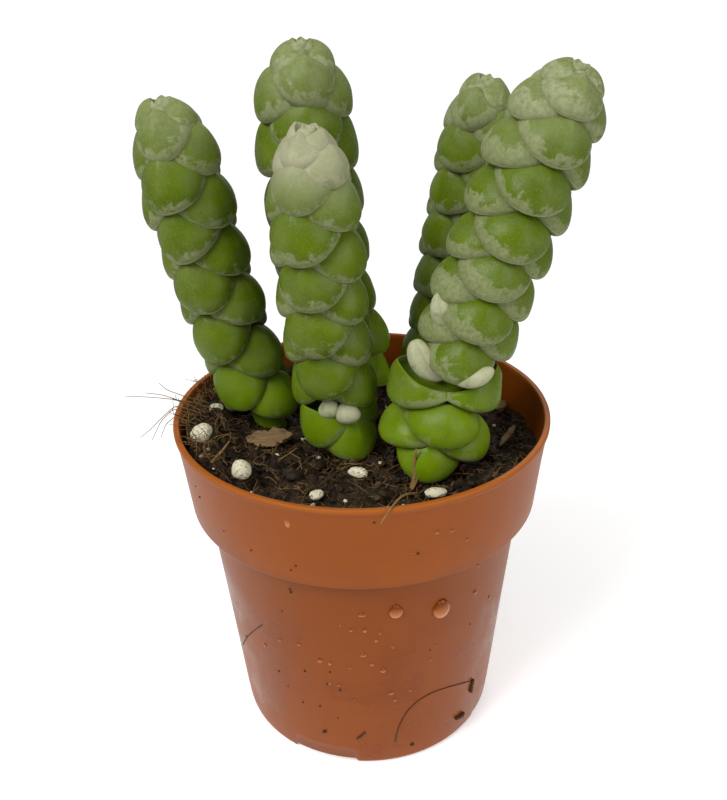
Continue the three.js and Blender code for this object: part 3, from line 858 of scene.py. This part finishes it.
def make_buds():
    """Pale side buds between the older leaves."""
    build = Builder()
    stems = {stem["name"]: stem for stem in STEMS}
    verts, faces = BALLS[4]
    for number, (name, height, angle, reach, face, size, roll, fold) in enumerate(BUDS):
        shape = verts * (1 + 0.16 * rough_field(verts + 3 * number, 1.3, 2, number)[:, None])
        # A shallow fold along the bud, and a bend that follows the stem behind it
        crease = np.exp(-((shape[:, 1] - 0.15) / 0.22) ** 2) * np.clip(shape[:, 0], 0, 1)
        shape[:, 0] -= fold * crease + 0.25 * shape[:, 2] ** 2
        shape[:, 1] += 0.3 * shape[:, 2] ** 2 * np.sign(roll)
        shape = shape * np.array([size[1], size[0], size[2]])
        shape = shape @ turn_matrix((1, 0, 0), roll).T
        place, axes = stem_frame(stems[name], height, angle)
        turned = stem_frame(stems[name], height, face)[1]
        build.add(shape @ turned + place + reach * axes[0], faces)
    dress(build.piece("side_buds", bud_material()), "leaf")


# Pot
def collar_share(z):
    return (z - COLLAR_Z) / (POT_HEIGHT - COLLAR_Z)


def wall_radius(z):
    """Inside of the pot."""
    if z < COLLAR_Z + 0.9:
        return BASE_RADIUS + (BODY_RADIUS - BASE_RADIUS) * z / COLLAR_Z - WALL
    return COLLAR_LOW_RADIUS - WALL + (RIM_INSIDE - COLLAR_LOW_RADIUS + WALL) * collar_share(z)


def outer_radius(z):
    if z < COLLAR_Z:
        return BASE_RADIUS + (BODY_RADIUS - BASE_RADIUS) * z / COLLAR_Z
    return COLLAR_LOW_RADIUS + (COLLAR_RADIUS - COLLAR_LOW_RADIUS) * collar_share(z)


def wall_wave(points):
    """Slight waves of a thin moulded wall."""
    return rough_field(points, WAVE_SIZE, 2, 5) * WAVE_DEPTH * np.clip(points[..., 2] / WAVE_START, 0, 1)


def rounded(corners):
    """Polyline with each corner replaced by an arc-like run of points."""
    path = [np.array(corners[0][:2], float)]
    for before, corner, after in zip(corners, corners[1:], corners[2:]):
        p, a, b = (np.array(c[:2], float) for c in (corner, before, after))
        if len(corner) < 3:
            path.append(p)
            continue
        start, end = p + unit(a - p) * corner[2], p + unit(b - p) * corner[2]
        for t in np.linspace(0, 1, 6):
            path.append((1 - t) ** 2 * start + 2 * t * (1 - t) * p + t * t * end)
    path.append(np.array(corners[-1][:2], float))
    return np.array(path)


def pot_profile():
    """Radius and height from the middle of the base, out, up and back in, some with a rounding."""
    step = COLLAR_Z
    outside = [(outer_radius(z), z) for z in (6, 20, 35, 50)]
    collar = [(outer_radius(z), z) for z in (66, 72)]
    return rounded([
        (0.02, 0), (10, 0), (16.5, 0), (17.5, 0), (22, 0), (27, 0), (BASE_RADIUS - 0.1, 0, 1.5), *outside,
        (BODY_RADIUS, step - 0.9, 0.35), (COLLAR_LOW_RADIUS, step - 0.3, 0.5), *collar,
        (COLLAR_RADIUS, POT_HEIGHT - LIP_DROP - 0.5, 0.25),
        (RIM_RADIUS, POT_HEIGHT - LIP_DROP - 0.1, 0.2),
        (RIM_RADIUS, POT_HEIGHT, 0.5), (RIM_INSIDE, POT_HEIGHT, 0.4),
        (wall_radius(70), 70), (wall_radius(step + 1.3), step + 1.3, 0.4),
        (wall_radius(step + 0.6), step + 0.6), (wall_radius(30), 30), (wall_radius(FLOOR), FLOOR, 0.8),
        (15, FLOOR), (0.02, FLOOR)])


def make_pot():
    path = pot_profile()
    angle = circle(POT_SIDES)
    r, z = (np.broadcast_to(part, (POT_SIDES, len(path))) for part in path.T)
    r = r + wall_wave(polar(r, angle[:, None], z))
    material = pot_material()
    cutters = Builder()
    for i in range(DRAIN_COUNT):
        heading = math.radians(DRAIN_ANGLE + 360 / DRAIN_COUNT * i)
        turn = (angle - heading + math.pi) % (2 * math.pi) - math.pi
        sideways = r * np.sin(turn)[:, None]
        inside = (np.abs(sideways) < DRAIN_WIDTH / 2) & (np.cos(turn)[:, None] > 0) & (r > DRAIN_START)
        z = np.where(inside & (z < DRAIN_HEIGHT), DRAIN_HEIGHT, z)
        x, y = DRAIN_REACH * math.cos(heading), DRAIN_REACH * math.sin(heading)
        cutters.add(*tube([(x, y, -2), (x, y, 2), (x, y, 6)], DRAIN_RADIUS, 32))
    verts = np.concatenate([polar(r, angle[:, None], z).reshape(-1, 3), [[0, 0, 0], [0, 0, FLOOR]]])
    pot = new_piece("pot_shell", verts, capped_faces(POT_SIDES, len(path)), material)
    cutter = cutters.piece("drain_cutter", material)
    cut = pot.modifiers.new("drains", "BOOLEAN")
    cut.operation = "DIFFERENCE"
    cut.solver = "EXACT"
    cut.object = cutter
    bpy.context.view_layer.update()
    done = bpy.data.meshes.new_from_object(pot.evaluated_get(bpy.context.evaluated_depsgraph_get()))
    pot.modifiers.clear()
    pot.data = done
    bpy.data.objects.remove(cutter)
    dress(pot, "pot_plastic", "pot")


# Water, dirt and twigs on the outside of the pot
def on_wall(heading, z, out=0.0):
    """Points on the outside of the pot, with its slight waves, and a distance out from it."""
    heading, z = np.radians(np.asarray(heading, float)), np.asarray(z, float)
    base = np.interp(z, [0, COLLAR_Z - 0.1, COLLAR_Z, POT_HEIGHT],
                     [BASE_RADIUS, BODY_RADIUS, COLLAR_LOW_RADIUS, COLLAR_RADIUS])
    return polar(base + wall_wave(polar(base, heading, z)) + out, heading, z)


def drop_shape(heading, z, width, height, depth, sides=32, rings=8):
    """Low dome of water on the wall, fuller towards its lower end."""
    t = circle(sides)
    rho = np.linspace(1, 0.12, rings)
    up = np.sin(t)[:, None] * rho
    side = np.cos(t)[:, None] * rho * (1 - 0.4 * np.clip(up, 0, 1))
    rise = depth * np.sqrt(np.clip(1 - rho ** 2, 0, 1)) * (1 - 0.3 * up) - 0.04
    turn = np.degrees(side * width / 2 / outer_radius(z))
    top = on_wall(heading + turn, z + up * height / 2, rise)
    ends = [on_wall([heading], [z], -0.2), on_wall([heading], [z], depth - 0.04)]
    # Painted light: brighter towards the drop's lower end, darker towards its top
    light = np.concatenate([(0.5 - 0.5 * up).ravel(), [0.0, 0.5]])
    return np.concatenate([top.reshape(-1, 3), *ends]), capped_faces(sides, rings), first_only(light)


def make_wall_details():
    water, dirt = Builder(), Builder()
    for heading, z, width, height in DROPS:
        water.add(*drop_shape(heading, z, width, height, 0.24 * min(width, height) + 0.12))
    water.add(*drop_shape(*TRICKLE, TRICKLE_DEPTH))
    dress(water.piece("wall_drops", drop_material()), "pot_plastic")
    for points, thick in TWIGS:
        path = smooth_path(on_wall(*zip(*points), thick * 0.6), 9)
        path += rng.normal(0, 0.08, path.shape)
        radii = thick * rng.uniform(0.7, 1.15, len(path))
        dirt.add(*tube(path, radii, 7), (0.02, 0, 0))
    for points in WALL_HAIRS:
        path = smooth_path(on_wall(*zip(*points), 0.12), 30)
        path = on_wall(np.degrees(np.arctan2(path[:, 1], path[:, 0])), path[:, 2], 0.08)
        dirt.add(*tube(path, 0.11, 5), (0.03, 0, 0))
    verts, faces = BALLS[2]
    for heading, z in SPECKS:
        size = rng.uniform(0.14, 0.32)
        lump = verts * (1 + 0.4 * rough_field(verts + heading, 0.8, 2, 3))[:, None] * size
        dirt.add(lump + on_wall(heading, z, 0.05), faces, (0.04, 0, 0))
    dress(dirt.piece("wall_dirt", FIBRE), "soil")


# Soil
def soil_height(x, y):
    x, y = np.asarray(x, float), np.asarray(y, float)
    rise = SOIL_LEFT_RISE * smooth((-x - 16) / 20)
    fall = SOIL_RIGHT_FALL * smooth((x + 0.5 * y - 14) / 24)
    waves = 0.35 * np.sin(0.31 * x + 1.2) + 0.35 * np.sin(0.27 * y - 0.21 * x)
    height = SOIL_LEVEL + rise - fall + waves
    for stem in STEMS:
        distance = np.hypot(x - stem["foot"][0], y - stem["foot"][1])
        height = height - stem.get("dip", SOIL_DIP) * np.exp(-((distance / SOIL_DIP_WIDTH) ** 2))
    return height


def make_soil():
    angle = circle(SOIL_SIDES)
    edge = wall_radius(SOIL_LEVEL) - 0.1
    ring = edge * (1 - np.linspace(0, 1, SOIL_RINGS + 1)[:-1])
    flat = polar(ring[None, :], angle[:, None], 0.0)
    x, y = flat[..., 0], flat[..., 1]
    # Lumps, crumbs and pits, and the mound of roots at the left
    z = soil_height(x, y) + 3.0 * rough_field(flat, 5.0, 3, 3) + 2.4 * rough_field(flat, 1.7, 3, 9)
    z = z - 1.8 * smooth((field(flat, 2.6, 12) - 0.6) / 0.2)
    z = z + 2.4 * np.exp(-((x + 37) / 6.0) ** 2 - (y / 10.0) ** 2)
    wall = [polar(wall_radius(height) - 0.3, angle, height)
            for height in (FLOOR + 0.3, 30.0, COLLAR_Z + 0.5, COLLAR_Z + 2.0, 68.0)]
    points = np.concatenate([np.stack(wall, 1), np.stack([x, y, z], -1)], 1)
    ends = [[0, 0, FLOOR + 0.3], [0, 0, float(soil_height(0, 0))]]
    verts = np.concatenate([points.reshape(-1, 3), ends])
    tint = first_only(0.35 + rough_field(verts, 2.0, 2, 31))
    piece = new_piece("soil_bed", verts, capped_faces(*points.shape[:2]), PEAT, {"tint": tint})
    dress(piece, "soil", "soil")


def soil_spot(limit):
    """Random place on the soil and its height there."""
    while True:
        x, y = rng.uniform(-limit, limit, 2)
        if math.hypot(x, y) < limit:
            return x, y, float(soil_height(x, y))


def make_crumbs():
    build = Builder()
    for size_low, size_high, count, level in CRUMBS:
        verts, faces = BALLS[level]
        for _ in range(count):
            size = rng.uniform(size_low, size_high)
            x, y, z = soil_spot(SOIL_REACH - size)
            z = z + rng.uniform(-0.3, 0.7) * size + 0.15
            lump = 1 + 0.5 * rough_field(verts + rng.uniform(0, 90, 3), 0.8, 2, 2)
            shape = verts * lump[:, None] * np.array([1, rng.uniform(0.5, 1), rng.uniform(0.35, 0.8)])
            shape = shape @ random_turn().T * size * 0.5
            build.add(shape + (x, y, z), faces, (rng.uniform(0, 1) ** 2, 0, 0))
    dress(build.piece("soil_crumbs", PEAT, smooth_faces=False), "soil")


def fibre_path(start, heading, climb, length, curl, steps, sag=0.0):
    """Wandering path that stays above the soil and inside the wall."""
    points = [np.array(start, float)]
    for _ in range(steps):
        heading += rng.normal(0, curl)
        climb += rng.normal(0, curl * 0.5) - sag
        points.append(points[-1] + length / steps * polar(math.cos(climb), heading, math.sin(climb)))
    for p in points:
        r = math.hypot(p[0], p[1])
        if r > SOIL_REACH and p[2] < POT_HEIGHT + 0.3:
            p[0] *= SOIL_REACH / r
            p[1] *= SOIL_REACH / r
        p[2] = max(p[2], float(soil_height(p[0], p[1])) + FIBRE_LIFT)
    return np.array(points)


def add_fibre(build, path, thick, tint, sides=4, taper=0.5):
    build.add(*tube(path, thick * np.linspace(1, taper, len(path)), sides), (tint, 0, 0))


def make_fibres():
    build = Builder()
    for _ in range(FIBRES):
        x, y, z = soil_spot(39)
        start = (x, y, z + rng.uniform(0.1, 1.2))
        path = fibre_path(start, rng.uniform(0, 2 * math.pi), rng.uniform(-0.1, 0.7),
                          rng.uniform(1.2, 5.5), 0.4, 5, 0.08)
        add_fibre(build, path, rng.uniform(0.04, 0.12), rng.uniform(0.05, 1) ** 1.6)
    # Matted clump of coir that stands above the rim at the left, clear of the two grains beside it
    grains = [box_middle(name) for name in ("perlite_1", "perlite_2")]
    for _ in range(CLUMP_FIBRES):
        around = math.radians(rng.uniform(*CLUMP_HEADINGS))
        reach = 40.4 - abs(rng.normal(0, CLUMP_SPREAD))
        start = polar(reach, around, rng.uniform(76.5, 80.2) - 0.06 * abs(40 - reach) ** 1.4)
        path = fibre_path(start, around + rng.normal(0, 1.9), rng.uniform(-0.3, 0.7),
                          rng.uniform(2, 7), 0.6, 7)
        thick, tint = rng.uniform(0.05, 0.13), rng.uniform(0.1, 0.9) ** 1.5
        if min(np.hypot(*(path - grain)[:, :2].T).min() for grain in grains) > GRAIN_CLEARANCE:
            add_fibre(build, path, thick, tint)
    for points in LONG_HAIRS:
        add_fibre(build, smooth_path(points, 24), HAIR_THICKNESS, 0.55, 5)
    for points, thick, tint in ROOTS:
        add_fibre(build, smooth_path(points, 18), thick, tint, 7, 0.35)
    dress(build.piece("soil_fibres", FIBRE), "soil")


# Loose grains and chips
def grain_shape(size, turn, seed, level):
    verts, faces = BALLS[level]
    lump = 1 + 0.42 * rough_field(verts + seed * 3.7, 1.1, 3, seed)
    lump = lump + 0.16 * rough_field(verts + seed, 0.35, 2, seed + 5)
    shape = verts * lump[:, None] * (np.array(size) / 2)
    return shape @ turn_matrix((0, 0, 1), turn).T, faces


def make_grains():
    for number, (name, size, turn) in enumerate(GRAINS, 1):
        verts, faces = grain_shape(size, turn, number, 5)
        piece = new_piece(name + "_grain", verts + box_middle(name) - (0, 0, 0.3), faces, PERLITE)
        dress(piece, "perlite", name)
    build = Builder()
    for i in range(PERLITE_CRUMBS):
        x, y, z = soil_spot(38)
        scale = rng.uniform(0.5, 1.5)
        size = (scale, scale * 0.8, scale * 0.6)
        verts, faces = grain_shape(size, rng.uniform(0, 360), 20 + i, 3)
        build.add(verts + (x, y, z + 0.5), faces)
    dress(build.piece("perlite_crumbs", PERLITE), "perlite")


def chip_shape(size, turn, tilt, seed):
    """Layered splintery flake."""
    length, width, thick = size
    nx, ny = CHIP_GRID
    count = nx * ny
    cell = np.arange(count).reshape(nx, ny)
    order = np.concatenate([cell[:, 0], cell[-1, 1:], cell[-2::-1, -1], cell[0, -2:0:-1]]).tolist()
    sheet = grid_faces(nx, ny, closed=False)
    faces = [f[::-1] for f in sheet] + [[i + count for i in f] for f in sheet]
    faces += [[a, b, b + count, a + count] for a, b in zip(order, order[1:] + order[:1])]
    build = Builder()
    u, v = np.meshgrid(np.linspace(-0.5, 0.5, nx), np.linspace(-0.5, 0.5, ny), indexing="ij")
    taper = 1 - 0.75 * np.abs(2 * u) ** 2.4
    for layer in range(CHIP_LAYERS):
        flat = np.stack([u * length, v * width, np.full_like(u, 7.0 * layer + seed)], -1)
        ragged = 1 + 1.1 * rough_field(flat, 0.8, 3, seed)
        x = u * length * (0.97 - 0.06 * layer) + 1.1 * rough_field(flat * (0, 1, 1), 0.7, 2, seed + 3)
        y = v * width * taper * ragged * (1 - 0.12 * layer)
        crest = thick * (0.5 - 0.33 * layer)
        relief = 0.5 * rough_field(flat * (0.3, 1.6, 1), 0.9, 3, seed + layer)
        top = np.stack([x, y, crest + relief * 0.7], -1)
        low = np.stack([x * 0.97, y * 0.95, crest - thick * 0.3 + relief * 0.5], -1)
        build.add(np.concatenate([top.reshape(-1, 3), low.reshape(-1, 3)]), faces)
    verts = np.concatenate(build.verts) @ turn_matrix((1, 0, 0), tilt).T @ turn_matrix((0, 0, 1), turn).T
    return verts, build.faces


def make_chips():
    material = bark_material()
    for name, size, turn, tilt, seed in CHIPS:
        verts, faces = chip_shape(size, turn, tilt, seed)
        piece = new_piece(name + "_wood", verts + box_middle(name) - (0, 0, 0.15), faces, material)
        dress(piece, "bark", name)


# Floor, light and camera
def make_floor():
    signs = ((-1, -1), (1, -1), (1, 1), (-1, 1))
    corners = [(x * FLOOR_REACH, y * FLOOR_REACH, FLOOR_DROP) for x, y in signs]
    floor = new_piece("studio_floor", corners, [(0, 1, 2, 3)], floor_material())


def make_surroundings():
    """White surroundings that are brighter to the camera than as a light."""
    scene = bpy.context.scene
    scene.view_settings.view_transform = "Standard"
    world = bpy.data.worlds.new("studio")
    scene.world = world
    world.use_nodes = True
    tree = world.node_tree
    background = tree.nodes["Background"]
    background.inputs[0].default_value = (1.0, 1.0, 1.0, 1.0)
    seen = tree.nodes.new("ShaderNodeLightPath").outputs["Is Camera Ray"]
    strength = tree.nodes.new("ShaderNodeMapRange")
    tree.links.new(seen, strength.inputs[0])
    strength.inputs[3].default_value = AMBIENT
    strength.inputs[4].default_value = BACKDROP
    tree.links.new(strength.outputs[0], background.inputs[1])


def make_lights():
    sun = bpy.data.lights.new("sky", "SUN")
    sun.energy = SUN_POWER
    sun.angle = math.radians(SUN_WIDTH)
    lamp = add_object("sky", sun)
    lamp.rotation_euler = (math.radians(SUN_TILT[0]), math.radians(SUN_TILT[1]), 0)
    for name, place, size, power in LAMPS:
        light = bpy.data.lights.new(name, "AREA")
        light.energy = power
        light.size = size
        lamp = add_object(name, light)
        lamp.location = place
        aim = Vector(LAMP_AIM) - lamp.location
        lamp.rotation_euler = aim.to_track_quat("-Z", "Y").to_euler()


def make_camera():
    camera = bpy.data.cameras.new("camera")
    camera.lens = CAMERA_LENS
    camera.clip_start, camera.clip_end = CAMERA_CLIP
    holder = add_object("camera", camera)
    turn = Matrix.Rotation(math.radians(90 - CAMERA_ELEVATION), 3, "X")
    turn = turn @ Matrix.Rotation(math.radians(CAMERA_ROLL), 3, "Z")
    place = Vector(CAMERA_TARGET) + turn.col[2] * CAMERA_DISTANCE
    holder.matrix_world = Matrix.Translation(place * MM) @ turn.to_4x4()
    bpy.context.scene.camera = holder


leaf_skin = leaf_material()
for number, stem in enumerate(STEMS):
    make_stem(stem, number, leaf_skin)
make_buds()
make_pot()
make_soil()
# From here on the order matters, because these draw from one random sequence
make_wall_details()
make_crumbs()
make_fibres()
make_grains()
make_chips()
make_floor()
make_surroundings()
make_lights()
make_camera()
